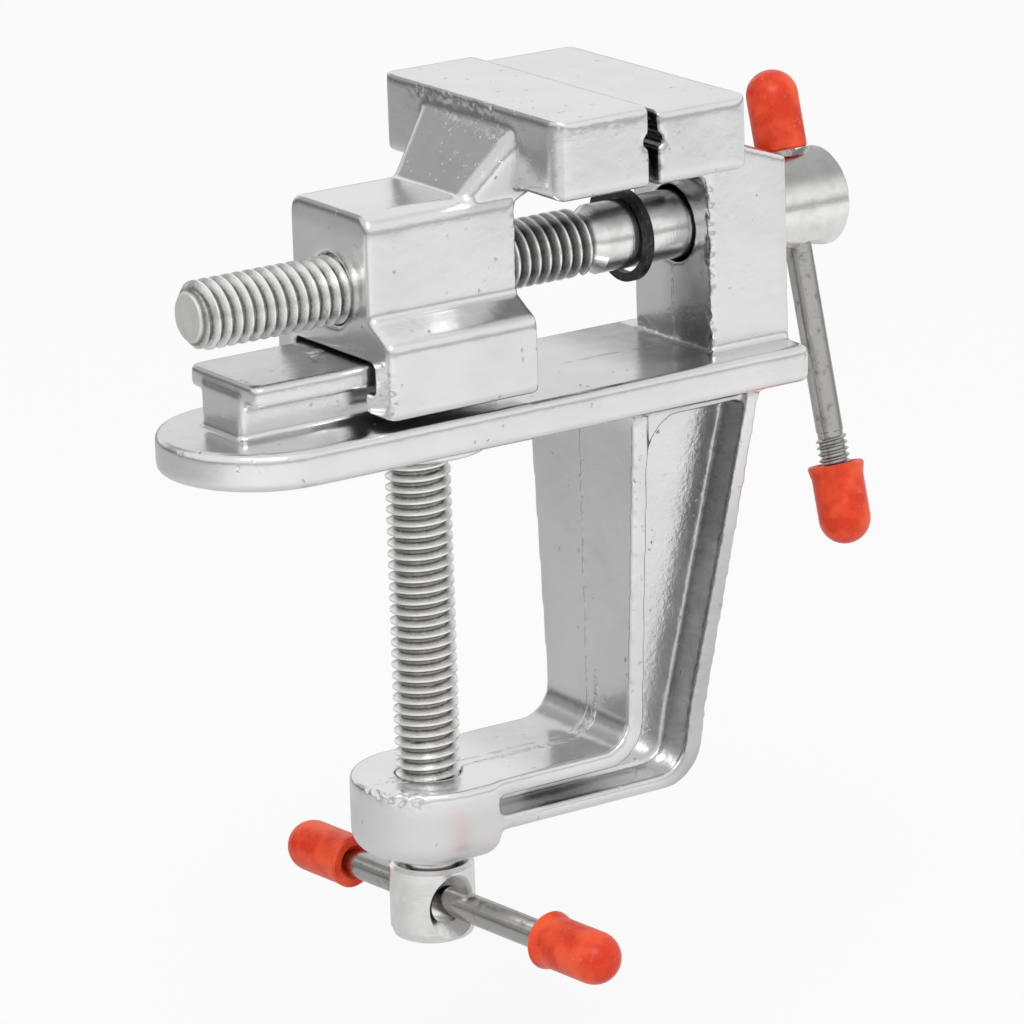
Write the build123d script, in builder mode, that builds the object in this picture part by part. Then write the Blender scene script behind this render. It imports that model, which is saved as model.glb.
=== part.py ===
from build123d import *
import os

# Small clamp-on bench vise: a one-piece casting with a fixed jaw and a C-shaped clamp arm, a movable
# jaw on a T-shaped rail, a jaw screw and a clamp screw, each turned by a loose bar with soft end caps.
# Millimetres. +X runs along the jaw screw towards its head, +Z is up, and the origin is where the
# clamp screw's axis meets the underside of the plate, the face that sits on the table.

os.makedirs("parts", exist_ok=True)

# Plate
plate_thick = 4.7
plate_half = 12.7
plate_round_x = -21.6
plate_right = 50.0
plate_edge = 0.9

# T-shaped rail on the plate
rail_left = -26.9
rail_right = 8.8
stem_half = 4.7
stem_left = -27.2
flange_half = 7.7
flange_bottom = 9.0
rail_top = 11.8
rail_corner = 1.3
stem_sunk = 3.0

# Column and fixed jaw
column_left = 38.1
column_right = 50.2
column_half = 8.0
fixed_left = 23.3
fixed_right = 36.95
fixed_top = 39.0
jaw_front = -18.6
jaw_back = 19.0
jaw_bottom = 29.8
groove_z = 35.4
groove_radius = 0.8
corner_round = 2.2
top_round = 0.7
low_round = 1.6
end_round = 1.1

# Movable jaw, at rest
body_left = -11.45
body_right = 9.65
body_half = 8.55
body_top = 29.85
shoe_half = 12.6
shoe_bottom = 5.65
shoe_shoulder = 14.9
shoe_slope_top = 17.3
slot_half = 8.8
slot_top = 12.1
slot_lip_half = 6.6
slot_lip_top = 8.35
movable_left = 8.75
movable_right = 22.2
movable_top = 39.8
neck_low = 26.0
neck_low_x = -0.7
neck_top = 37.6
neck_head = 8.9
neck_half_low = 7.1
neck_half_top = 11.3
neck_round = 1.8

# Clamp arm: an inner flange, a web and an outer flange, tapering downwards
throat_x = 23.8
arm_bottom_inner = -42.7
arm_bottom_outer = -49.3
arm_top_outer_x = 42.9
arm_low_outer_x = 33.8
inner_flange = 2.2
outer_flange = 2.0
arm_half_top = 11.6
arm_half_low = 9.0
web_half_top = 7.2
web_half_low = 4.4

# Boss that carries the clamp screw
boss_radius = 9.7
boss_right = 4.7
boss_bottom = -52.3
land_radius = 5.3
land_bottom = -53.6

# Jaw screw
screw_z = 19.5
jaw_crest = 4.2
jaw_root = 3.3
jaw_pitch = 1.5
jaw_tip = -31.1
jaw_thread_end = 24.4
shank_radius = 4.3
shank_start = 26.0
head_left = 50.55
head_right = 61.2
head_radius = 6.2
cross_hole = 2.4
cross_rim = 3.2
bar_x = 56.3
bar_tilt = 14.9

# Loose retaining ring on the jaw screw's shank
ring_x = 30.5
ring_thick = 1.0
ring_outer = 5.75
ring_inner = 4.62
ring_drop = 0.25
ring_gap_angle = 12.0
ring_gap_slope = 0.09
lug_angle = 17.0
lug_off = 5.75
lug_radius = 1.3
lug_hole = 0.5

# Clamp screw
clamp_crest = 4.0
clamp_root = 3.15
clamp_pitch = 1.4
clamp_top = -1.75
clamp_head_top = -54.25
clamp_head_bottom = -63.9
clamp_head_radius = 5.25
clamp_hole_z = -59.3
clamp_bar_z = -58.8
clamp_bar_turn = -84.6

# Swivel pad on the clamp screw's tip
pad_radius = 8.8
pad_thick = 1.5
pad_top = -0.1
pin_radius = 1.9
pin_top = -0.45

# Bars and caps
jaw_rod_radius = 1.7
clamp_rod_radius = 1.8
rod_thread_crest = 1.95
rod_thread_root = 1.6
rod_thread_pitch = 0.8
cap_radius = 3.25
cap_wall = 2.7
jaw_cap_length = 10.1
clamp_cap_length = 11.6
cap_mouth = 0.75
bar_up = 16.35
bar_down = -43.3
clamp_bar_back = -27.0
clamp_bar_front = 33.8
clamp_neck_radius = 1.4
clamp_neck_shown = 0.9

# Fits
bore_clear = 0.08
column_bore = 4.75
cap_fit = 0.03
pad_fit = 0.06


def thread_coil(crest, root, pitch, length):
    """Right-hand thread ridge from z = 0 to z = length, sunk a little into its core."""
    path = Helix(pitch=pitch, height=length, radius=root)
    foot = pitch * 0.45
    tip = pitch * 0.08
    with BuildPart() as coil:
        with BuildSketch(Plane(origin=path @ 0, x_dir=(1, 0, 0), z_dir=path % 0)):
            with BuildLine():
                Polyline((-0.15, -foot), (crest - root, -tip), (crest - root, tip), (-0.15, foot), close=True)
            make_face()
        sweep(path=path, is_frenet=True)
    return coil.part


def cross_bore(head):
    """The countersunk hole for a bar, through a round head of that radius, standing along Z."""
    rim_at = (head**2 - cross_rim**2) ** 0.5
    sink_at = rim_at - (cross_rim - cross_hole)
    far = 2 * head
    wide = cross_rim + far - rim_at
    with BuildPart() as bore:
        with BuildSketch(Plane.XZ):
            with BuildLine():
                Polyline(
                    (0, -far), (wide, -far), (cross_hole, -sink_at), (cross_hole, sink_at), (wide, far),
                    (0, far), close=True,
                )
            make_face()
        revolve(axis=Axis.Z)
    return bore.part


def gripping_block(left, right, top, back_side, face_x):
    """A jaw's block: sharp at its gripping face, which has a groove for round work, and rounded elsewhere.

    back_side picks the rounded back: 0 for the left side, -1 for the right side.
    """
    middle_x = (left + right) / 2
    with BuildPart() as block:
        with BuildSketch(Plane.XY.offset(jaw_bottom)) as plan:
            with Locations((middle_x, (jaw_front + jaw_back) / 2)):
                Rectangle(right - left, jaw_back - jaw_front)
            fillet(plan.vertices().group_by(Axis.X)[back_side], corner_round)
        extrude(amount=top - jaw_bottom)
        with BuildSketch(Plane.XZ) as side:
            with Locations((middle_x, (jaw_bottom + top) / 2)):
                Rectangle(right - left, top - jaw_bottom)
            fillet(side.vertices().group_by(Axis.X)[back_side].sort_by(Axis.Y)[-1], top_round)
            fillet(side.vertices().group_by(Axis.X)[back_side].sort_by(Axis.Y)[0], low_round)
        extrude(amount=2 * jaw_back, both=True, mode=Mode.INTERSECT)
        with BuildSketch(Plane.YZ.offset(left)) as front:
            with Locations(((jaw_front + jaw_back) / 2, (jaw_bottom + top) / 2)):
                Rectangle(jaw_back - jaw_front, top - jaw_bottom)
            fillet(front.vertices(), end_round)
        extrude(amount=right - left, mode=Mode.INTERSECT)
        with Locations((face_x, 0, groove_z)):
            Cylinder(groove_radius, 3 * jaw_back, rotation=(90, 0, 0), mode=Mode.SUBTRACT)
    return block.part


# ---------------------------------------------------------------- frame casting
# The plate: full round at its left end, square with small corners at the column end.
with BuildPart() as plate:
    with BuildSketch(Plane.XY):
        with BuildLine():
            ThreePointArc(
                (plate_round_x, -plate_half), (plate_round_x - plate_half, 0), (plate_round_x, plate_half),
            )
            FilletPolyline(
                (plate_round_x, plate_half), (plate_right, plate_half), (plate_right, -plate_half),
                (plate_round_x, -plate_half), radius=1.5,
            )
        make_face()
    extrude(amount=plate_thick)
    fillet(plate.faces().sort_by(Axis.Z)[-1].edges(), plate_edge)
    fillet(plate.faces().sort_by(Axis.Z)[0].edges(), plate_edge)

# The T-shaped rail, cut off square ahead of the column.
with BuildPart() as rail_head:
    with BuildSketch(Plane.YZ.offset(rail_left)):
        with Locations((0, (flange_bottom + rail_top) / 2)):
            Rectangle(2 * flange_half, rail_top - flange_bottom)
    extrude(amount=rail_right - rail_left)
    fillet(rail_head.edges().filter_by(Axis.Z).group_by(Axis.X)[0], rail_corner)
    fillet(rail_head.faces().sort_by(Axis.Z)[-1].edges(), 0.6)
    fillet(rail_head.faces().sort_by(Axis.Z)[0].edges(), 0.4)
with BuildPart() as rail_stem:
    with BuildSketch(Plane.YZ.offset(stem_left)):
        with Locations((0, (flange_bottom + 1 + stem_sunk) / 2)):
            Rectangle(2 * stem_half, flange_bottom + 1 - stem_sunk)
    extrude(amount=rail_right - stem_left)
    fillet(rail_stem.edges().filter_by(Axis.Z).group_by(Axis.X)[0], 0.8)

# The column, with its sloping top and the short neck that carries the jaw.
with BuildPart() as column:
    with BuildSketch(Plane.XZ):
        with BuildLine():
            Polyline(
                (column_left, 2.0), (column_left, 25.8), (33.6, jaw_bottom + 0.6), (33.6, 34.6),
                (37.6, 33.2), (39.6, 31.4), (44.7, 29.3), (column_right, 27.4), (column_right, 2.0),
                close=True,
            )
        make_face()
    extrude(amount=column_half, both=True)
    fillet(column.edges().filter_by(Axis.Z).group_by(Axis.X)[-1], 0.9)
    fillet(column.edges().filter_by(Axis.Z).group_by(Axis.X)[0], 0.3)
    fillet(column.edges().filter_by(Axis.Y).sort_by(Axis.X)[-2], 1.4)

# The fixed jaw's block.
with BuildPart() as fixed_block:
    add(gripping_block(fixed_left, fixed_right, fixed_top, -1, fixed_left))

# The arm's web fills the outline between the two flanges, thinner than they are wide.
with BuildPart() as web:
    with BuildSketch(Plane.XZ):
        with BuildLine():
            FilletPolyline(
                (0, arm_bottom_inner), (throat_x, arm_bottom_inner), (throat_x, 0.5),
                (arm_top_outer_x, 0.5), (arm_low_outer_x, arm_bottom_outer), (0, arm_bottom_outer),
                radius=[4.0, 0.2, 0.2, 6.0], close=False,
            )
            Line((0, arm_bottom_outer), (0, arm_bottom_inner))
        make_face()
    extrude(amount=10, both=True)
    with BuildSketch(Plane.YZ):
        with BuildLine():
            Polyline(
                (-web_half_top, 1), (web_half_top, 1), (web_half_low, -40), (web_half_low, -55),
                (-web_half_low, -55), (-web_half_low, -40), close=True,
            )
        make_face()
    extrude(amount=60, mode=Mode.INTERSECT)

# The two flanges, as strips that follow the throat and the back of the arm.
with BuildPart() as flanges:
    with BuildSketch(Plane.XZ):
        with BuildLine():
            FilletPolyline(
                (0, arm_bottom_inner), (throat_x, arm_bottom_inner), (throat_x, 0.5), radius=4.0,
            )
            FilletPolyline(
                (0, arm_bottom_inner - inner_flange),
                (throat_x + inner_flange, arm_bottom_inner - inner_flange),
                (throat_x + inner_flange, 0.5), radius=5.5,
            )
            Line((0, arm_bottom_inner), (0, arm_bottom_inner - inner_flange))
            Line((throat_x, 0.5), (throat_x + inner_flange, 0.5))
        make_face()
    extrude(amount=13, both=True)
    with BuildSketch(Plane.XZ):
        with BuildLine():
            FilletPolyline(
                (0, arm_bottom_outer), (arm_low_outer_x, arm_bottom_outer), (arm_top_outer_x, 0.5),
                radius=6.0,
            )
            FilletPolyline(
                (0, arm_bottom_outer + outer_flange),
                (arm_low_outer_x - outer_flange - 0.4, arm_bottom_outer + outer_flange),
                (arm_top_outer_x - outer_flange, 0.5), radius=4.0,
            )
            Line((0, arm_bottom_outer), (0, arm_bottom_outer + outer_flange))
            Line((arm_top_outer_x, 0.5), (arm_top_outer_x - outer_flange, 0.5))
        make_face()
    extrude(amount=13, both=True)
    with BuildSketch(Plane.YZ):
        with BuildLine():
            Polyline(
                (-arm_half_top, 1), (arm_half_top, 1), (arm_half_top, 0), (arm_half_low, -40),
                (arm_half_low + 0.2, -44), (arm_half_low + 0.3, -52), (-arm_half_low - 0.3, -52),
                (-arm_half_low - 0.2, -44), (-arm_half_low, -40), (-arm_half_top, 0), close=True,
            )
        make_face()
    extrude(amount=60, mode=Mode.INTERSECT)

# Metal that fills the pocket just under the plate, so that the pocket's top corner is rounded.
with BuildPart() as pocket_head:
    with BuildSketch(Plane.XZ):
        with BuildLine():
            Polyline(
                (24.6, 0.5), (42.0, 0.5), (41.6, -1.1), (30.4, -1.2), (28.6, -2.0), (27.2, -3.6),
                (26.4, -5.6), (24.6, -6.4), close=True,
            )
        make_face()
    extrude(amount=10.6, both=True)

# The boss at the arm's end, rounded all round, with a raised land where the screw's head comes up.
with BuildPart() as boss:
    with BuildSketch(Plane.XY.offset(boss_bottom)):
        with BuildLine():
            ThreePointArc((0, -boss_radius), (-boss_radius, 0), (0, boss_radius))
            FilletPolyline(
                (0, boss_radius), (boss_right, boss_radius), (boss_right, -boss_radius),
                (0, -boss_radius), radius=1.5,
            )
        make_face()
    extrude(amount=arm_bottom_inner - boss_bottom)
    fillet(boss.faces().sort_by(Axis.Z)[0].edges(), 2.6)
    fillet(boss.faces().sort_by(Axis.Z)[-1].edges(), 0.7)
    with Locations((0, 0, land_bottom)):
        Cylinder(land_radius, 3, align=(Align.CENTER, Align.CENTER, Align.MIN))

with BuildPart() as frame_casting:
    add(plate.part)
    add(rail_head.part)
    add(rail_stem.part)
    add(column.part)
    add(fixed_block.part)
    add(web.part)
    add(flanges.part)
    add(pocket_head.part)
    add(boss.part)
    with Locations((44, 0, screw_z)):
        Cylinder(column_bore, 30, rotation=(0, 90, 0), mode=Mode.SUBTRACT)
    with Locations((0, 0, -48)):
        Cylinder(clamp_crest + bore_clear, 20, mode=Mode.SUBTRACT)
frame_casting.part.label = "frame_casting"
export_step(frame_casting.part, "parts/frame_casting.step")

# ---------------------------------------------------------------- movable jaw
# The C-shaped shoe that wraps the rail, with sloping shoulders up to the narrower body.
with BuildPart() as jaw_body:
    with BuildSketch(Plane.YZ.offset(body_left)):
        with BuildLine():
            Polyline(
                (-shoe_half, shoe_bottom), (-shoe_half, shoe_shoulder), (-body_half, shoe_slope_top),
                (-body_half, body_top), (body_half, body_top), (body_half, shoe_slope_top),
                (shoe_half, shoe_shoulder), (shoe_half, shoe_bottom), close=True,
            )
        make_face()
    extrude(amount=body_right - body_left)
    fillet(jaw_body.edges().filter_by(Axis.X).group_by(Axis.Z)[-1], 2.2)
    fillet(jaw_body.edges().filter_by(Axis.X).group_by(Axis.Z)[1], 1.6)
    fillet(jaw_body.edges().filter_by(Axis.X).group_by(Axis.Z)[0], 0.9)
    fillet(jaw_body.faces().sort_by(Axis.X)[0].edges(), 0.7)

# The jaw's block, and the sloping neck that flares out as it rises into it.
with BuildPart() as jaw_block:
    add(gripping_block(movable_left, movable_right, movable_top, 0, movable_right))
with BuildPart() as jaw_neck:
    with BuildSketch(Plane.XZ):
        with BuildLine():
            Polyline(
                (neck_low_x, neck_low), (neck_head, neck_top), (12.0, neck_top), (14.0, jaw_bottom + 0.3),
                (body_right, 28.0), (body_right, neck_low), close=True,
            )
        make_face()
    extrude(amount=jaw_back, both=True)
    with BuildSketch(Plane.YZ):
        with BuildLine():
            Polyline(
                (-neck_half_low, neck_low), (-neck_half_top, neck_top), (neck_half_top, neck_top),
                (neck_half_low, neck_low), close=True,
            )
        make_face()
    extrude(amount=20, both=True, mode=Mode.INTERSECT)
    slope = jaw_neck.faces().sort_by_distance(((neck_low_x + neck_head) / 2, 0, (neck_low + neck_top) / 2))[0]
    fillet(slope.edges().filter_by(lambda edge: abs((edge % 0.5).Y) < 0.5), neck_round)

with BuildPart() as movable_jaw:
    add(jaw_body.part)
    add(jaw_block.part)
    add(jaw_neck.part)
    with BuildSketch(Plane.YZ.offset(body_left - 1)):
        with BuildLine():
            Polyline(
                (-slot_half, slot_lip_top), (-slot_half, slot_top), (slot_half, slot_top),
                (slot_half, slot_lip_top), (slot_lip_half, slot_lip_top), (slot_lip_half, shoe_bottom - 1),
                (-slot_lip_half, shoe_bottom - 1), (-slot_lip_half, slot_lip_top), close=True,
            )
        make_face()
    extrude(amount=body_right - body_left + 2, mode=Mode.SUBTRACT)
    with Locations((0, 0, screw_z)):
        Cylinder(jaw_crest + bore_clear, 60, rotation=(0, 90, 0), mode=Mode.SUBTRACT)
movable_jaw.part.label = "movable_jaw"
export_step(movable_jaw.part, "parts/movable_jaw.step")

# ---------------------------------------------------------------- jaw screw
# One turned piece: thread, plain shank through the column, and a head with a cross hole for the bar.
# It is turned standing on its tip, then laid along X. The ridge stops just short of the shank's taper.
core_end = jaw_thread_end - jaw_tip
with BuildPart() as screw_upright:
    with BuildSketch(Plane.XZ):
        with BuildLine():
            Polyline(
                (0, 0), (jaw_root, 0), (jaw_root, core_end), (shank_radius, shank_start - jaw_tip),
                (shank_radius, head_left - jaw_tip), (head_radius - 0.4, head_left - jaw_tip),
                (head_radius, head_left - jaw_tip + 0.4), (head_radius, head_right - jaw_tip - 0.5),
                (head_radius - 0.5, head_right - jaw_tip), (0, head_right - jaw_tip), close=True,
            )
        make_face()
    revolve(axis=Axis.Z)
    jaw_coil = thread_coil(jaw_crest, jaw_root, jaw_pitch, core_end - 0.1)
    add(jaw_coil.moved(Location((0, 0, -0.7))))
    with BuildSketch(Plane.XZ):
        with BuildLine():
            Polyline(
                (0, -2), (0, 0), (jaw_root - 0.5, 0), (jaw_crest + 0.6, 1.9), (jaw_crest + 0.6, -2),
                close=True,
            )
        make_face()
    revolve(axis=Axis.Z, mode=Mode.SUBTRACT)
screw_lying = screw_upright.part.moved(Location((jaw_tip, 0, screw_z), (0, 90, 0)))
with BuildPart() as jaw_screw:
    add(screw_lying)
    add(cross_bore(head_radius).moved(Location((bar_x, 0, screw_z), (-bar_tilt, 0, 0))), mode=Mode.SUBTRACT)
jaw_screw.part.label = "jaw_screw"
export_step(jaw_screw.part, "parts/jaw_screw.step")

# ---------------------------------------------------------------- retaining ring
# An open spring-steel ring with a drilled lug each side of its gap. It is a little wider than the
# shank, so it hangs from the top of it.
with BuildPart() as retaining_ring:
    with BuildSketch(Plane.YZ.offset(ring_x)):
        with Locations(Location((0, screw_z - ring_drop), ring_gap_angle)):
            Circle(ring_outer)
            for side in (-1, 1):
                with PolarLocations(lug_off, 1, start_angle=side * lug_angle):
                    Circle(lug_radius)
            Circle(ring_inner, mode=Mode.SUBTRACT)
            for side in (-1, 1):
                with PolarLocations(lug_off, 1, start_angle=side * lug_angle):
                    Circle(lug_hole, mode=Mode.SUBTRACT)
            gap_reach = 2 * lug_off
            Polygon(
                (0, 0), (gap_reach, -gap_reach * ring_gap_slope), (gap_reach, gap_reach * ring_gap_slope),
                align=None, mode=Mode.SUBTRACT,
            )
    extrude(amount=ring_thick)
retaining_ring.part.label = "retaining_ring"
export_step(retaining_ring.part, "parts/retaining_ring.step")

# ---------------------------------------------------------------- clamp screw
# Thread, and a long round head with a wide cross hole. A pin at its top holds the swivel pad.
clamp_length = clamp_top - clamp_head_top
with BuildPart() as clamp_screw:
    with BuildSketch(Plane.XZ):
        with BuildLine():
            Polyline(
                (0, clamp_head_bottom), (clamp_head_radius - 1.3, clamp_head_bottom),
                (clamp_head_radius - 0.4, clamp_head_bottom + 0.4),
                (clamp_head_radius, clamp_head_bottom + 1.4),
                (clamp_head_radius, clamp_head_top - 0.5), (clamp_head_radius - 0.5, clamp_head_top),
                (clamp_root, clamp_head_top), (clamp_root, clamp_top), (0, clamp_top), close=True,
            )
        make_face()
    revolve(axis=Axis.Z)
    clamp_coil = thread_coil(clamp_crest, clamp_root, clamp_pitch, clamp_length)
    add(clamp_coil.moved(Location((0, 0, clamp_head_top + 0.75))))
    with BuildSketch(Plane.XZ):
        with BuildLine():
            Polyline(
                (0, clamp_top), (clamp_root - 0.4, clamp_top), (clamp_crest + 0.6, clamp_top - 1.6),
                (clamp_crest + 0.6, clamp_top + 3), (0, clamp_top + 3), close=True,
            )
        make_face()
    revolve(axis=Axis.Z, mode=Mode.SUBTRACT)
    with Locations((0, 0, clamp_top - 1)):
        Cylinder(pin_radius, pin_top - clamp_top + 1, align=(Align.CENTER, Align.CENTER, Align.MIN))
    clamp_bore_place = Location((0, 0, clamp_hole_z), (90, 0, clamp_bar_turn + 90))
    add(cross_bore(clamp_head_radius).moved(clamp_bore_place), mode=Mode.SUBTRACT)
clamp_screw.part.label = "clamp_screw"
export_step(clamp_screw.part, "parts/clamp_screw.step")

# ---------------------------------------------------------------- swivel pad
# The thin round pad that presses on the table; its hole turns on the screw's pin.
with BuildPart() as clamp_pad:
    with BuildSketch(Plane.XY.offset(pad_top - pad_thick)):
        Circle(pad_radius)
        Circle(pin_radius + pad_fit, mode=Mode.SUBTRACT)
    extrude(amount=pad_thick)
    fillet(clamp_pad.edges().filter_by(GeomType.CIRCLE).group_by(SortBy.RADIUS)[-1], 0.4)
clamp_pad.part.label = "clamp_pad"
export_step(clamp_pad.part, "parts/clamp_pad.step")


# ---------------------------------------------------------------- bars and caps
# Each bar is built upright with its own zero at the screw's axis, then turned into place.
jaw_rod_low = bar_down + cap_wall
jaw_rod_high = bar_up - cap_wall
low_mouth = bar_down + jaw_cap_length
with BuildPart() as jaw_bar_upright:
    with BuildSketch(Plane.XZ):
        with BuildLine():
            Polyline(
                (0, jaw_rod_low), (rod_thread_root, jaw_rod_low), (rod_thread_root, low_mouth + 4.0),
                (jaw_rod_radius, low_mouth + 4.1), (jaw_rod_radius, jaw_rod_high - 0.4),
                (jaw_rod_radius - 0.4, jaw_rod_high), (0, jaw_rod_high), close=True,
            )
        make_face()
    revolve(axis=Axis.Z)
    rod_coil = thread_coil(rod_thread_crest, rod_thread_root, rod_thread_pitch, 5.6)
    add(rod_coil.moved(Location((0, 0, low_mouth - 2.2))))
jaw_place = Location((bar_x, 0, screw_z), (-bar_tilt, 0, 0))
with BuildPart() as jaw_screw_bar:
    add(jaw_bar_upright.part.moved(jaw_place))
jaw_screw_bar.part.label = "jaw_screw_bar"
export_step(jaw_screw_bar.part, "parts/jaw_screw_bar.step")


def soft_cap(bore, mouth_z, length, lip):
    """A soft dipped cap standing on its mouth at mouth_z, closed and round at the top.

    Its mouth opens out inside, and lip is how far its rim stands out past its side.
    """
    shoulder = mouth_z + length - cap_radius
    with BuildPart() as cap:
        with BuildSketch(Plane.XZ):
            with BuildLine():
                Polyline(
                    (0, mouth_z + length - cap_wall), (bore, mouth_z + length - cap_wall),
                    (bore, mouth_z + cap_mouth), (bore + cap_mouth, mouth_z),
                    (cap_radius + lip - 0.2, mouth_z), (cap_radius + lip, mouth_z + 0.3),
                    (cap_radius, mouth_z + 1.7), (cap_radius, shoulder),
                )
                RadiusArc((cap_radius, shoulder), (0, mouth_z + length), -cap_radius)
                Line((0, mouth_z + length), (0, mouth_z + length - cap_wall))
            make_face()
        revolve(axis=Axis.Z)
    return cap.part


with BuildPart() as jaw_bar_cap_top:
    add(soft_cap(jaw_rod_radius + cap_fit, bar_up - jaw_cap_length, jaw_cap_length, 0.0).moved(jaw_place))
jaw_bar_cap_top.part.label = "jaw_bar_cap_top"
export_step(jaw_bar_cap_top.part, "parts/jaw_bar_cap_top.step")

upside_down = Location((0, 0, 0), (180, 0, 0))
with BuildPart() as jaw_bar_cap_low:
    low_cap = soft_cap(rod_thread_crest + cap_fit, -low_mouth, jaw_cap_length, 0.3)
    add(low_cap.moved(jaw_place * upside_down))
jaw_bar_cap_low.part.label = "jaw_bar_cap_low"
export_step(jaw_bar_cap_low.part, "parts/jaw_bar_cap_low.step")

clamp_place = Location((0, 0, clamp_bar_z), (0, 0, clamp_bar_turn)) * Location((0, 0, 0), (0, 90, 0))
back_mouth = clamp_bar_back + clamp_cap_length
front_mouth = clamp_bar_front - clamp_cap_length
with BuildPart() as clamp_rod:
    with BuildSketch(Plane.XZ):
        with BuildLine():
            Polyline(
                (0, clamp_bar_back + cap_wall), (clamp_neck_radius, clamp_bar_back + cap_wall),
                (clamp_neck_radius, back_mouth + clamp_neck_shown - 0.4),
                (clamp_neck_radius + 0.25, back_mouth + clamp_neck_shown - 0.3),
                (clamp_neck_radius + 0.25, back_mouth + clamp_neck_shown - 0.1),
                (clamp_neck_radius, back_mouth + clamp_neck_shown),
                (clamp_rod_radius - 0.1, back_mouth + clamp_neck_shown),
                (clamp_rod_radius, back_mouth + clamp_neck_shown + 0.2),
                (clamp_rod_radius, front_mouth - 0.3), (clamp_rod_radius - 0.1, front_mouth - 0.1),
                (clamp_neck_radius, front_mouth - 0.1), (clamp_neck_radius, clamp_bar_front - cap_wall),
                (0, clamp_bar_front - cap_wall), close=True,
            )
        make_face()
    revolve(axis=Axis.Z)
with BuildPart() as clamp_screw_bar:
    add(clamp_rod.part.moved(clamp_place))
clamp_screw_bar.part.label = "clamp_screw_bar"
export_step(clamp_screw_bar.part, "parts/clamp_screw_bar.step")

with BuildPart() as clamp_bar_cap_front:
    add(soft_cap(clamp_neck_radius + cap_fit, front_mouth, clamp_cap_length, 0.35).moved(clamp_place))
clamp_bar_cap_front.part.label = "clamp_bar_cap_front"
export_step(clamp_bar_cap_front.part, "parts/clamp_bar_cap_front.step")

with BuildPart() as clamp_bar_cap_back:
    back_cap = soft_cap(clamp_neck_radius + cap_fit, -back_mouth, clamp_cap_length, 0.1)
    add(back_cap.moved(clamp_place * upside_down))
clamp_bar_cap_back.part.label = "clamp_bar_cap_back"
export_step(clamp_bar_cap_back.part, "parts/clamp_bar_cap_back.step")
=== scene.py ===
"""Looks of a small cast bench vise that clamps under a table edge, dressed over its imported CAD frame."""

import math

import bpy
import numpy as np
from mathutils import Matrix, Vector, noise


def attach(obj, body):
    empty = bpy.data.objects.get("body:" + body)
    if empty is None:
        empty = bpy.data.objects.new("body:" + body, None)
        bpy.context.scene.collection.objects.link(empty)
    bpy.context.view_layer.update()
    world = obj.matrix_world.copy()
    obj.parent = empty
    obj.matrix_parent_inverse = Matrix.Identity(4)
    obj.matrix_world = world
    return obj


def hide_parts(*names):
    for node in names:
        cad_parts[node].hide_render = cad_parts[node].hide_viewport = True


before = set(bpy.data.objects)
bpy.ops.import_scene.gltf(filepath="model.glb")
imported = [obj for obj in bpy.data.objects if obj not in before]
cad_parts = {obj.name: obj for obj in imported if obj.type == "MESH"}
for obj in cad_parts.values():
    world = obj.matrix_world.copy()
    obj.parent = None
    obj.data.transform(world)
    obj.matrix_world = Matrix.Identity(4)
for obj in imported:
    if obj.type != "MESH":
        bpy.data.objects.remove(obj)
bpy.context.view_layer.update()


# Body casting: plate, T rail, column with the fixed jaw, clamp arm and boss, die cast in one piece.
# Its skin is tumbled and nickel plated: bright, with melted edges, fine grain, small pits and a
# raised line where the two mould halves met.
MM = 0.001
CASTING_VOXEL = 0.36 * MM
MELT_PASSES = 7
UNEVEN_MM = 0.028
SWELL_MM = 5.0
RIPPLE_MM = 1.6
SUNK = 1.2
CHIPS_PER_MM = 1.3
SPLINTERS_PER_MM = 2.7
NICKEL_BRIGHT = (0.88, 0.88, 0.885, 1.0)
NICKEL_MILKY = (0.83, 0.83, 0.835, 1.0)
# Dark colour for the painted shade on the plating.
NICKEL_IN_SHADE = (0.22, 0.22, 0.22, 1.0)


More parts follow.
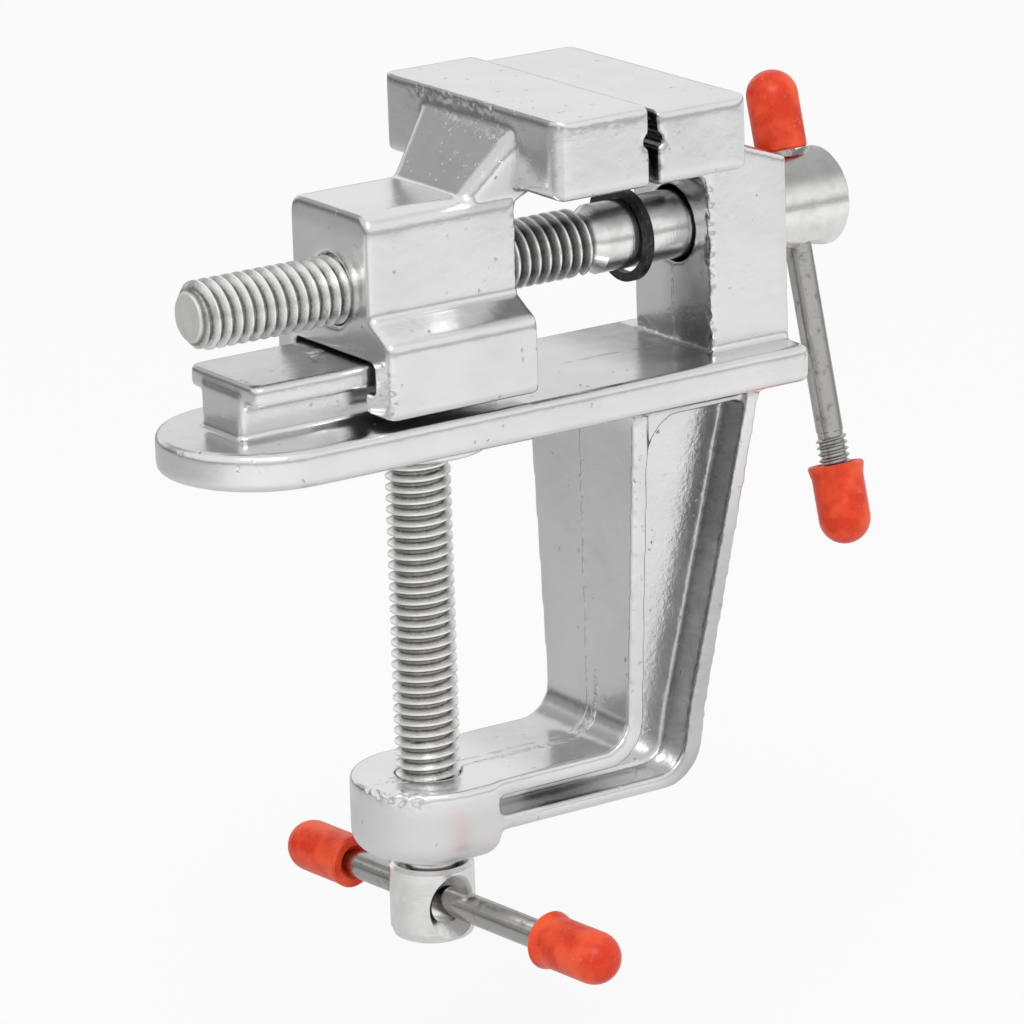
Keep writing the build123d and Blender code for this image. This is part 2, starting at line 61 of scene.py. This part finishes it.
class Shade:
    """One shader socket. Arithmetic on it adds Math nodes, and node() adds any other node."""

    def __init__(self, tree, socket=None):
        self.tree = tree
        self.socket = socket

    def node(self, kind, settings=None, sockets=None, out=0):
        made = self.tree.nodes.new("ShaderNode" + kind)
        for name, value in (settings or {}).items():
            if name != "stops":
                setattr(made, name, value)
                continue
            elements = made.color_ramp.elements
            while len(elements) < len(value):
                elements.new(0.5)
            for element, (position, colour) in zip(elements, value):
                element.position = position
                element.color = colour
        for name, value in (sockets or {}).items():
            if isinstance(value, Shade):
                self.tree.links.new(value.socket, made.inputs[name])
            else:
                made.inputs[name].default_value = value
        return Shade(self.tree, made.outputs[out] if made.outputs else None)

    def math(self, operation, left, right=0.0):
        return self.node("Math", {"operation": operation}, {0: left, 1: right})

    def vector(self, operation, left, right=(0.0, 0.0, 0.0), out=0):
        return self.node("VectorMath", {"operation": operation}, {0: left, 1: right}, out)

    def stretched(self, times):
        """This place, scaled: by a number, or along each axis."""
        sizes = (times, times, times) if isinstance(times, (int, float)) else times
        return self.vector("MULTIPLY", self, sizes)

    def parts(self):
        """The X, Y and Z of a vector."""
        return [self.node("SeparateXYZ", None, {"Vector": self}, axis) for axis in "XYZ"]

    def most(self, other):
        return self.math("MAXIMUM", self, other)

    def rise(self, low, high):
        """0 below low, 1 above high, smooth between; low may be the larger."""
        ends = {"Value": self, "From Min": low, "From Max": high}
        return self.node("MapRange", {"interpolation_type": "SMOOTHSTEP"}, ends)

    def blend(self, first, second):
        """The colour that goes from first to second as this value goes from 0 to 1."""
        return self.node("Mix", {"data_type": "RGBA"}, {0: self, 6: first, 7: second}, 2)

    def cloud(self, scale, detail=2.0, roughness=0.5):
        """Smooth noise at this place, about 0.5 in the middle."""
        sockets = {"Vector": self, "Scale": scale, "Detail": detail, "Roughness": roughness}
        return self.node("TexNoise", None, sockets)

    def __add__(self, other):
        return self.math("ADD", self, other)

    def __radd__(self, other):
        return self.math("ADD", other, self)

    def __sub__(self, other):
        return self.math("SUBTRACT", self, other)

    def __rsub__(self, other):
        return self.math("SUBTRACT", other, self)

    def __mul__(self, other):
        return self.math("MULTIPLY", self, other)

    def __rmul__(self, other):
        return self.math("MULTIPLY", other, self)

    def __abs__(self):
        return self.math("ABSOLUTE", self)


def start_finish(name):
    """A new material, and its first socket: the place on the piece in millimetres at rest."""
    material = bpy.data.materials.new(name)
    material.use_nodes = True
    material.node_tree.nodes.clear()
    place = Shade(material.node_tree).node("TexCoord", out="Object").stretched(1 / MM)
    return material, place


def end_finish(place, colour, roughness, relief, metallic=1.0, **fixed):
    """Ends a material in one Principled shader; the relief is in millimetres."""
    sockets = {"Base Color": colour, "Roughness": roughness, "Metallic": metallic}
    sockets["Normal"] = place.node("Bump", None, {"Height": relief, "Distance": MM, "Strength": 1.0})
    for name, value in fixed.items():
        sockets[name.replace("_", " ")] = value
    shader = place.node("BsdfPrincipled", None, sockets)
    place.node("OutputMaterial", None, {"Surface": shader})


def cast_skin(place):
    """Relief and dullness that both castings share: grain, waviness and small pits."""
    grain = place.cloud(1.7, 3.0, 0.55)
    waves = place.cloud(0.28, 2.0)
    shift = place.node("TexNoise", None, {"Vector": place, "Scale": 2.5}, "Color")
    ragged = place.vector("ADD", place, shift)
    spots = place.node("TexVoronoi", None, {"Vector": ragged, "Scale": 0.55, "Randomness": 1.0})
    chosen = place.cloud(0.16, 1.0).rise(0.50, 0.62)
    pits = spots.rise(0.17, 0.03) * chosen
    patchy = place.cloud(0.22, 3.0).rise(0.48, 0.66)
    relief = grain * (0.012 + patchy * 0.020) + waves * 0.05 - pits * 0.06
    dullness = 0.19 + waves * 0.05 + pits * 0.3
    return relief, dullness, pits


def plating(place, shade_and_pits):
    """Bright nickel, darkened where the mask, from 0 to 1, puts painted shade or dark pits."""
    tone = place.cloud(0.09, 3.0).rise(0.35, 0.7)
    return shade_and_pits.blend(tone.blend(NICKEL_BRIGHT, NICKEL_MILKY), NICKEL_IN_SHADE)


def melted_copy(node, name, scars):
    """A casting's mesh from its CAD solid, with edges melted round and a slightly uneven skin.

    SUNK keeps the whole skin a little inside the solid. A scar is a line along which the metal is
    chipped or has flash: its two ends, how far it reaches and how deep it goes, in millimetres.
    """
    piece = bpy.data.objects.new(name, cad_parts[node].data.copy())
    bpy.context.scene.collection.objects.link(piece)
    skin = piece.modifiers.new("skin", "REMESH")
    skin.mode = "VOXEL"
    skin.voxel_size = CASTING_VOXEL
    melt = piece.modifiers.new("melt", "SMOOTH")
    melt.factor = 0.5
    melt.iterations = MELT_PASSES
    graph = bpy.context.evaluated_depsgraph_get()
    mesh = bpy.data.meshes.new_from_object(piece.evaluated_get(graph))
    piece.modifiers.clear()
    piece.data = mesh
    outward = [vertex.normal.copy() for vertex in mesh.vertices]
    spots = np.array([vertex.co / MM for vertex in mesh.vertices])
    torn = np.zeros(len(spots))
    for start, end, reach, depth in scars:
        start, run = np.array(start), np.array(end) - np.array(start)
        share = np.clip((spots - start) @ run / (run @ run), 0, 1)
        off = np.linalg.norm(spots - start - share[:, None] * run, axis=1)
        torn = np.maximum(torn, depth * np.clip(1.5 - 1.5 * off / reach, 0, 1))
    for vertex, normal, deep in zip(mesh.vertices, outward, torn):
        spot = vertex.co / MM
        dip = noise.noise(spot / SWELL_MM) + 0.35 * noise.noise(spot / RIPPLE_MM) - SUNK
        chip = 0.0
        if deep:
            rugged = noise.noise(spot * CHIPS_PER_MM) + 0.6 * noise.noise(spot * SPLINTERS_PER_MM)
            chip = deep * (rugged - 0.25)
        vertex.co += normal * ((dip * UNEVEN_MM + chip) * MM)
    for face in mesh.polygons:
        face.use_smooth = True
    return piece


casting_nickel, place = start_finish("casting_nickel")
relief, dullness, pits = cast_skin(place)
along, across, height = place.parts()
facing, sideways, upward = place.node("TexCoord", out="Normal").parts()

# The mould line runs down the middle. It is ground off the rail, the plate's round end, the jaw and
# the boss. The lower arm has a second, rougher line beside it.
wander = place.cloud(0.2, 1.0)
behind_boss = along.rise(-6.5, -5.0)
left_on = along.rise(20.5, 22.5).most(height.rise(-5.0, -7.0) * behind_boss) * height.rise(30.0, 28.0)
broken = place.cloud(0.5, 2.0).rise(0.3, 0.6)
mould_line = abs(across + wander * 0.5 - 0.25).rise(0.34, 0.06) * broken * left_on
rough_line = height.rise(-32.0, -37.0) * behind_boss * abs(across + 1.3 + wander * 0.8).rise(0.7, 0.1)
rough_line = rough_line * place.cloud(1.1, 3.0).rise(0.35, 0.65)

# Faces of the casting that the masks below go by, in millimetres at rest. The inner side of the
# arm's outer flange is FLANGE_TOP out at the plate, and comes in by FLANGE_LEAN per millimetre down.
PLATE_TOP = 4.7
RAIL_TOP = 11.8
JAW_UNDERSIDE = 29.8
JAW_FACE = 23.3
COLUMN_FACE = 38.1
ARM_FACE = 23.8
LOW_ARM_TOP = -42.7
FLANGE_TOP = 40.6
FLANGE_LEAN = 0.183

# Painted shade: the plating is darkened in the arm's pocket and gutter, in the corner under the
# jaws and between them, around the column's foot, and a little on the plate, the rail, the lower
# arm and the arm's inner face.
from_flange = along - height * FLANGE_LEAN - FLANGE_TOP
in_pocket = abs(across).rise(11.2, 10.2) * height.rise(-0.6, -2.5) * along.rise(ARM_FACE + 2.6, ARM_FACE + 3.6)
beside_flange = from_flange.rise(-5.0, 0.3) * in_pocket * abs(sideways).rise(0.3, 0.7)
on_flange = facing.rise(-0.35, -0.7) * in_pocket * from_flange.rise(-1.5, 0.0)
in_gutter = height.rise(LOW_ARM_TOP - 2.2, LOW_ARM_TOP - 2.9) * along.rise(9.5, 12.0)
in_gutter = in_gutter * height.rise(LOW_ARM_TOP - 5.3, LOW_ARM_TOP - 4.5) * along.rise(30.0, 14.0)
on_column = facing.rise(-0.4, -0.8) * along.rise(COLUMN_FACE - 1.1, COLUMN_FACE - 0.5)
on_column = on_column * height.rise(JAW_UNDERSIDE - 2.8, 10.0) * across.rise(3.5, -4.0)
on_jaw_face = facing.rise(-0.3, -0.6) * along.rise(JAW_FACE - 1.3, JAW_FACE - 0.8) * along.rise(26.0, 25.0)
on_jaw_face = on_jaw_face * height.rise(JAW_UNDERSIDE - 2.8, JAW_UNDERSIDE - 0.8)
on_plate = upward.rise(0.6, 0.9) * height.rise(PLATE_TOP - 1.2, PLATE_TOP - 0.2)
on_plate = on_plate * height.rise(RAIL_TOP + 0.8, RAIL_TOP + 0.2)
on_rail = on_plate * height.rise(RAIL_TOP - 1.8, RAIL_TOP - 0.8)
by_column = on_plate * along.rise(23.0, 34.0) * along.rise(COLUMN_FACE + 0.5, COLUMN_FACE - 0.3)
by_column = by_column * across.rise(-10.0, -6.0)
on_low_arm = upward.rise(0.6, 0.9) * height.rise(-36.0, -39.0) * along.rise(6.0, 14.0)
on_arm_face = facing.rise(-0.6, -0.9) * along.rise(ARM_FACE - 3.8, ARM_FACE - 1.8) * height.rise(-1.0, -3.0)
on_arm_face = on_arm_face * along.rise(ARM_FACE + 2.2, ARM_FACE + 1.2)
# Strength of the painted shade at each place; below, it is made uneven and joined with the dark pits.
painted_shade = on_flange * 0.95 + beside_flange * 0.40 + in_gutter * 0.6 + on_column * 0.86 + on_jaw_face * 0.8
painted_shade = painted_shade + by_column * 0.58 + on_plate * 0.20 + on_rail * 0.14 + on_low_arm * 0.30
patchy = 0.7 + place.cloud(0.35, 3.0) * 0.5
shade_and_pits = (painted_shade * patchy + on_arm_face * 0.14).most(pits * 0.6)

# The boss is sand blasted. The pocket and the plate's corner keep the mould's orange peel, and the
# side of the inner flange has pinholes in its upper part.
blasted = height.rise(LOW_ARM_TOP - 1.8, LOW_ARM_TOP - 3.8) * along.rise(11.0, 9.0)
orange_peel = place.cloud(1.3, 3.0, 0.65) * in_pocket * 0.065 + place.cloud(1.6, 3.0, 0.7) * by_column * 0.06
on_inner_flange = sideways.rise(-0.5, -0.8) * along.rise(ARM_FACE - 1.3, ARM_FACE - 0.3)
on_inner_flange = on_inner_flange * along.rise(ARM_FACE + 2.7, ARM_FACE + 1.7) * height.rise(-1.0, -4.0)
pinholes = place.node("TexVoronoi", None, {"Vector": place, "Scale": 1.1, "Randomness": 1.0}).rise(0.26, 0.08)
pinholes = pinholes * on_inner_flange * height.rise(-34.0, -20.0) * place.cloud(0.5, 2.0).rise(0.40, 0.52)
relief = relief + mould_line * 0.09 + rough_line * 0.12 + orange_peel - pinholes * 0.07
end_finish(place, plating(place, shade_and_pits), dullness + blasted * 0.22, relief)

# Chips and flash, in the order: the column's front edge, the boss's rim twice, the column's foot,
# the arm's throat, the fixed jaw's edge, the rail's top and the inner flange's edge.
body_scars = [
    ((38.1, -8.0, 6.0), (38.1, -8.0, 27.0), 0.9, 0.35),
    ((-9.8, -1.8, -43.0), (-6.6, -7.5, -43.0), 1.9, 0.3),
    ((-9.6, 0.0, -43.3), (-5.5, -1.0, -42.8), 0.8, 0.3),
    ((38.1, -8.0, 4.9), (38.1, 8.0, 4.9), 1.6, 0.12),
    ((22.0, -1.0, -39.0), (10.0, -1.5, -42.5), 1.2, 0.28),
    ((23.2, -18.0, 38.6), (23.2, -18.0, 31.0), 1.0, 0.15),
    ((-14.6, -1.6, 11.9), (-12.6, 2.0, 11.9), 1.3, 0.42),
    ((23.6, -11.2, -4.0), (23.6, -9.6, -38.0), 0.7, 0.10),
]
body_casting = melted_copy("frame_casting", "body_casting", body_scars)
body_casting.data.materials.clear()
body_casting.data.materials.append(casting_nickel)
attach(body_casting, "frame")
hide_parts("frame_casting")


# Movable jaw: one casting of the same alloy and plating, whose foot straddles the T rail. It has no
# mould line, and its sloping neck is grainy.
jaw_nickel, place = start_finish("jaw_nickel")
relief, dullness, pits = cast_skin(place)
along, _, height = place.parts()
facing = place.node("TexCoord", out="Normal").parts()[0]
on_neck = facing.rise(-0.35, -0.6) * height.rise(26.0, 28.0)
flecks = place.node("TexVoronoi", None, {"Vector": place, "Scale": 1.0}).rise(0.20, 0.08) * on_neck
flecks = flecks * place.cloud(0.7, 1.0).rise(0.45, 0.6)
on_jaw_face = facing.rise(0.3, 0.6) * along.rise(20.0, 21.0)
on_jaw_face = on_jaw_face * height.rise(JAW_UNDERSIDE - 2.8, JAW_UNDERSIDE - 0.8)
# Painted shade on the sloping neck and on the face towards the fixed jaw, joined with the dark pits.
shade_and_pits = (on_neck * 0.22 + on_jaw_face * 0.8).most(pits * 0.6)
end_finish(place, plating(place, shade_and_pits), dullness + flecks * 0.5, relief + flecks * 0.03)

# Chips: the block's top left edge, the neck's top, the neck's edge, the block's front edge, the
# foot's left edge and the body's right one.
jaw_scars = [
    ((8.8, -6.0, 38.7), (8.8, 12.0, 38.7), 1.0, 0.22),
    ((8.0, -9.0, 36.4), (8.0, 6.0, 36.8), 0.9, 0.16),
    ((2.6, -8.0, 29.6), (8.5, -10.5, 36.5), 0.9, 0.08),
    ((21.5, -18.2, 38.6), (10.5, -18.2, 38.8), 0.8, 0.10),
    ((-11.4, -12.2, 6.2), (-11.4, -12.2, 11.0), 1.1, 0.3),
    ((9.4, -8.5, 28.5), (9.4, -8.5, 17.5), 0.8, 0.15),
]
sliding_jaw = melted_copy("movable_jaw", "sliding_jaw", jaw_scars)
sliding_jaw.data.materials.clear()
sliding_jaw.data.materials.append(jaw_nickel)
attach(sliding_jaw, "movable_jaw")
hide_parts("movable_jaw")


# Jaw screw and clamp screw: rolled threads and cross-drilled heads of plated steel. The thread's
# roots are painted dark as shade and its crests painted bright as highlight. The swivel pad is
# pressed from the same plated steel.
# Colours by depth in the thread: painted shade in the roots, rising to a painted highlight on the crests.
THREAD_SHADE_TO_HIGHLIGHT = [
    (0.0, (0.26, 0.258, 0.25, 1.0)),
    (0.25, (0.62, 0.617, 0.605, 1.0)),
    (0.6, (0.84, 0.837, 0.825, 1.0)),
    (0.9, (1.0, 0.997, 0.99, 1.0)),
]
STEEL_TURNED = (0.95, 0.947, 0.94, 1.0)
STEEL_SMUDGED = (0.84, 0.835, 0.825, 1.0)
SHADE_IN_THREAD = (0.12, 0.12, 0.12, 1.0)
SHADE_ON_SHANK_TOP = (0.10, 0.10, 0.10, 1.0)


def dress(node, material):
    """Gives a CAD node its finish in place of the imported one."""
    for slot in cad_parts[node].material_slots:
        slot.material = material


def screw_finish(name, axis, centre, crest, root, thread_from, thread_to, shade_and_sawn_end):
    """Plated steel turned round one axis, with a thread between two places on it.

    The last argument, from 0 to 1, paints shade on the thread behind the jaw and on the top of the
    shank, and leaves the thread's end as sawn.
    """
    material, place = start_finish(name)
    down = place.parts()["XYZ".index(axis)]
    upward = place.node("TexCoord", out="Normal").parts()[2]
    off_axis = place.vector("SUBTRACT", place, centre).stretched([float(letter != axis) for letter in "XYZ"])
    radius = place.vector("LENGTH", off_axis, out="Value")
    depth = (radius - root) * (1 / (crest - root))
    sawn_end = down.rise(thread_from + 0.3, thread_from)
    plain = sawn_end.most(down.rise(thread_to, thread_to + 0.5))
    smudge = place.cloud(0.5, 3.0).rise(0.35, 0.7)
    fine = place.cloud(2.6, 4.0, 0.7)
    rings = place.stretched([3.0 if letter == axis else 0.25 for letter in "XYZ"]).cloud(1.6, 3.0)
    thread = place.node("ValToRGB", {"stops": THREAD_SHADE_TO_HIGHLIGHT}, {"Fac": depth + (fine - 0.5) * 0.7})
    # Painted shade on the thread's roots behind the jaw body, and on the top of the shank.
    thread = (down.rise(4.0, 9.0) * depth.rise(1.0, 0.7) * shade_and_sawn_end).blend(thread, SHADE_IN_THREAD)
    shank_top_shade = upward.rise(0.25, 0.75) * down.rise(thread_to, thread_to + 2.0) * shade_and_sawn_end
    colour = shank_top_shade.blend(plain.blend(thread, smudge.blend(STEEL_TURNED, STEEL_SMUDGED)), SHADE_ON_SHANK_TOP)
    dullness = 0.16 - plain * 0.02 + smudge * 0.06 + sawn_end * shade_and_sawn_end * 0.5
    end_finish(place, colour, dullness, fine * (0.05 - plain * 0.03) + rings * 0.02)
    return material


jaw_plating = screw_finish(
    "jaw_screw_plating", "X", centre=(0.0, 0.0, 19.5), crest=4.2, root=3.3, thread_from=-31.0, thread_to=24.3,
    shade_and_sawn_end=0.6,
)
clamp_plating = screw_finish(
    "clamp_screw_plating", "Z", centre=(0.0, 0.0, 0.0), crest=4.0, root=3.15, thread_from=-54.2, thread_to=-1.8,
    shade_and_sawn_end=0.0,
)
dress("jaw_screw", jaw_plating)
dress("clamp_screw", clamp_plating)
dress("clamp_pad", clamp_plating)


# Loose retaining ring on the jaw screw's shank: a bent strip of steel, blackened in hot oxide.
OXIDE_BLACK = (0.018, 0.018, 0.019, 1.0)
OXIDE_SCUFFED = (0.07, 0.07, 0.07, 1.0)
ring_black, place = start_finish("ring_black")
scuffs = place.cloud(1.6, 3.0).rise(0.5, 0.75)
colour = scuffs.blend(OXIDE_BLACK, OXIDE_SCUFFED)
end_finish(place, colour, 0.34 + scuffs * 0.12, place.cloud(3.0, 2.0) * 0.01, metallic=0.4)
dress("retaining_ring", ring_black)


# Turning bars: drawn steel rod, nickel plated, with streaks along its length and a short rolled
# thread at the ends that hold the caps.
ROD_NICKEL = (0.49, 0.485, 0.47, 1.0)
ROD_GRIME = (0.32, 0.31, 0.295, 1.0)
JAW_BAR_TILT = math.radians(14.9)
CLAMP_BAR_TURN = math.radians(-84.6)


def bar_finish(name, along):
    """Plated rod, its pattern drawn out along one direction."""
    material, place = start_finish(name)
    down = place.vector("DOT_PRODUCT", place, along, "Value")
    shortened = place.node("VectorMath", {"operation": "SCALE"}, {0: along, "Scale": down * 0.96})
    streaks = place.vector("SUBTRACT", place, shortened).cloud(2.4, 3.0, 0.6)
    grime = place.cloud(0.7, 4.0, 0.65).rise(0.52, 0.7)
    colour = grime.blend(ROD_NICKEL, ROD_GRIME)
    end_finish(place, colour, 0.10 + streaks * 0.12 + grime * 0.12, streaks * 0.03 + grime * 0.006)
    return material


jaw_bar_way = (0.0, math.sin(JAW_BAR_TILT), math.cos(JAW_BAR_TILT))
clamp_bar_way = (math.cos(CLAMP_BAR_TURN), math.sin(CLAMP_BAR_TURN), 0.0)
dress("jaw_screw_bar", bar_finish("jaw_bar_nickel", jaw_bar_way))
dress("clamp_screw_bar", bar_finish("clamp_bar_nickel", clamp_bar_way))


# Caps: soft orange-red vinyl, dipped on a former and pushed over the threaded rod ends. Glossy,
# with faint specks of dust and a slightly uneven skin.
VINYL_DEEP = (0.76, 0.040, 0.006, 1.0)
VINYL_BRIGHT = (0.97, 0.105, 0.028, 1.0)
DUST = (0.95, 0.45, 0.33, 1.0)
vinyl, place = start_finish("orange_vinyl")
specks = place.node("TexVoronoi", None, {"Vector": place, "Scale": 0.8}).rise(0.12, 0.05)
scuffs = place.stretched((1.0, 3.0, 1.0)).cloud(0.9, 5.0, 0.7).rise(0.56, 0.70)
tint = place.cloud(0.28, 3.0).rise(0.38, 0.66)
colour = (specks * 0.5 + scuffs * 0.14).blend(tint.blend(VINYL_DEEP, VINYL_BRIGHT), DUST)
dullness = 0.26 + tint * 0.10 + scuffs * 0.2
relief = place.cloud(0.6, 2.0) * 0.06 + place.cloud(4.0) * 0.004
soft = {"Subsurface_Weight": 0.12, "Subsurface_Scale": MM, "IOR": 1.42}
end_finish(place, colour, dullness, relief, metallic=0.0, **soft)
for cap in ("jaw_bar_cap_top", "jaw_bar_cap_low", "clamp_bar_cap_front", "clamp_bar_cap_back"):
    dress(cap, vinyl)


# Studio floor: pale matt paper. The camera sees it lit evenly almost to white, with the object's
# shadow; in the metal it shows painted shade: a little darker under the object, far off, and
# behind on the left.
FLOOR_Z = -0.1045
FLOOR_HALF = 6.0
FLOOR_SEEN = (0.95, 0.95, 0.95, 1.0)
GLOW_SHARE = 0.75
BLACK = (0.0, 0.0, 0.0, 1.0)
WHITE = (1.0, 1.0, 1.0, 1.0)
floor_mesh = bpy.data.meshes.new("floor")
corners = [(x * FLOOR_HALF, y * FLOOR_HALF, FLOOR_Z) for x, y in ((-1, -1), (1, -1), (1, 1), (-1, 1))]
floor_mesh.from_pydata(corners, [], [(0, 1, 2, 3)])
floor = bpy.data.objects.new("floor", floor_mesh)
bpy.context.scene.collection.objects.link(floor)
paper = bpy.data.materials.new("floor_paper")
paper.use_nodes = True
paper.node_tree.nodes.clear()
start = Shade(paper.node_tree)
seen = start.node("LightPath", out="Is Camera Ray")
spot = start.node("TexCoord", out="Object")
back_left = start.vector("DOT_PRODUCT", spot, (-0.55, 0.83, 0.0), "Value")
away = start.vector("LENGTH", spot, out="Value")
lit = away.rise(0.02, 0.36) * 0.27 + 0.65 - away.rise(0.62, 1.2) * 0.45
mirrored = (lit * (1 - back_left.rise(-0.05, 0.40) * 0.42)).blend(BLACK, WHITE)
matt = start.node("BsdfDiffuse", None, {"Color": seen.blend(mirrored, FLOOR_SEEN)})
glow = start.node("Emission", None, {"Color": WHITE, "Strength": 1.0})
surface = start.node("MixShader", None, {0: seen * GLOW_SHARE, 1: matt, 2: glow})
start.node("OutputMaterial", None, {"Surface": surface})
floor_mesh.materials.append(paper)


# Studio light: an even pale room, white to the camera. In the metal it shows two darker corners
# behind on the left, a slightly dimmer patch above the front right and a dim band at the horizon.
ROOM = 0.85
HORIZON = 0.35
DARKEST = 0.14
DIMMER_PATCHES = [
    {"middle": (0.53, -0.43, 0.73), "wide": 3, "soft": 14, "dimmer": 0.14},
    {"middle": (-0.53, 0.80, 0.15), "wide": 9, "soft": 14, "dimmer": 0.55},
    {"middle": (-0.22, 0.78, 0.60), "wide": 8, "soft": 10, "dimmer": 0.45},
]
world = bpy.data.worlds.new("studio")
world.use_nodes = True
world.node_tree.nodes.clear()
bpy.context.scene.world = world
start = Shade(world.node_tree)
seen = start.node("LightPath", out="Is Camera Ray")
toward = start.node("TexCoord", out="Generated")
level = ROOM - abs(toward.parts()[2]).rise(0.16, 0.0) * HORIZON
for patch in DIMMER_PATCHES:
    near = start.vector("DOT_PRODUCT", toward, Vector(patch["middle"]).normalized(), "Value")
    rim = math.cos(math.radians(patch["wide"] + patch["soft"]))
    level = level - near.rise(rim, math.cos(math.radians(patch["wide"]))) * patch["dimmer"]
bright = seen + (1 - seen) * level.most(DARKEST)
background = start.node("Background", None, {"Color": WHITE, "Strength": bright})
start.node("OutputWorld", None, {"Surface": background})

lamp = bpy.data.lights.new("softbox", "AREA")
lamp.shape = "RECTANGLE"
lamp.size = 0.5
lamp.size_y = 0.4
lamp.energy = 2.0
softbox = bpy.data.objects.new("softbox", lamp)
bpy.context.scene.collection.objects.link(softbox)
softbox.location = (-0.35, -0.55, 0.65)
softbox.rotation_euler = (-softbox.location).to_track_quat("-Z", "Y").to_euler()


# Camera: its place, angle and lens are those of the photograph, found from straight edges in it.
CAMERA_PLACE = (-0.36761, -0.56794, 0.19180)
AZIMUTH = math.radians(-33.858)
ELEVATION = math.radians(16.640)
ROLL = math.radians(-1.733)
LENS_MM = 206.4
away_x, away_y = math.sin(AZIMUTH), -math.cos(AZIMUTH)
back = Vector((away_x * math.cos(ELEVATION), away_y * math.cos(ELEVATION), math.sin(ELEVATION)))
level_right = Vector((math.cos(AZIMUTH), math.sin(AZIMUTH), 0.0))
level_up = back.cross(level_right)
right = math.cos(ROLL) * level_right + math.sin(ROLL) * level_up
up = math.cos(ROLL) * level_up - math.sin(ROLL) * level_right
eye = bpy.data.cameras.new("camera")
eye.lens = LENS_MM
eye.sensor_width = 36.0
eye.clip_end = 20.0
camera = bpy.data.objects.new("camera", eye)
bpy.context.scene.collection.objects.link(camera)
turn = Matrix((right, up, back)).transposed()
camera.matrix_world = Matrix.Translation(Vector(CAMERA_PLACE)) @ turn.to_4x4()
bpy.context.scene.camera = camera
bpy.context.scene.view_settings.view_transform = "Standard"
